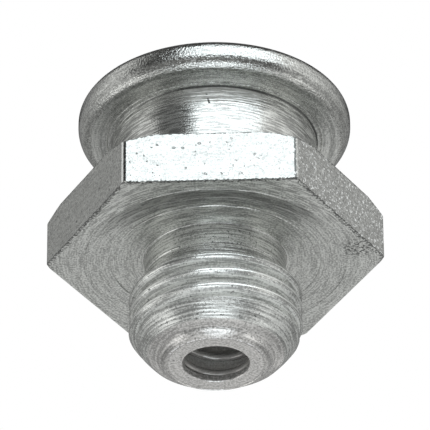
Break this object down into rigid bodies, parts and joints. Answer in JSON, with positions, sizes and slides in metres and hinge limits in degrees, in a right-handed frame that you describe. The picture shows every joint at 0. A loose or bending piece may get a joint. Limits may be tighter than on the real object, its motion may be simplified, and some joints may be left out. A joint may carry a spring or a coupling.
{
  "type": "grease nipple",
  "caption": "Flat-head lubrication nipple with hexagon flange, short threaded stem and a spring-loaded check ball inside.",
  "frame": {"origin": "on the axis, at the underside of the hexagon, which seats on the machine when the thread is screwed home", "axes": "+Z along the axis from the threaded stem to the flat head; two flats of the hexagon face -Y and +Y, two of its corners point along X"},
  "size_m": [0.0196, 0.017, 0.0172],
  "materials": {
    "zinc_plated_steel": "satin",
    "ball_steel": "polished",
    "spring_wire": "satin"
  },
  "bodies": {
    "fitting": {"body": "zinc_plated_steel", "spring": "spring_wire"},
    "ball": {"check_ball": "ball_steel"}
  },
  "joints": [
    {"name": "ball_lift", "type": "slide", "parent": "fitting", "child": "ball", "axis": [0, 0, -1], "range_m": [0, 0.0015], "stiffness_N_per_m": 710, "springref_m": -0.002, "deforming": ["spring"]}
  ]
}
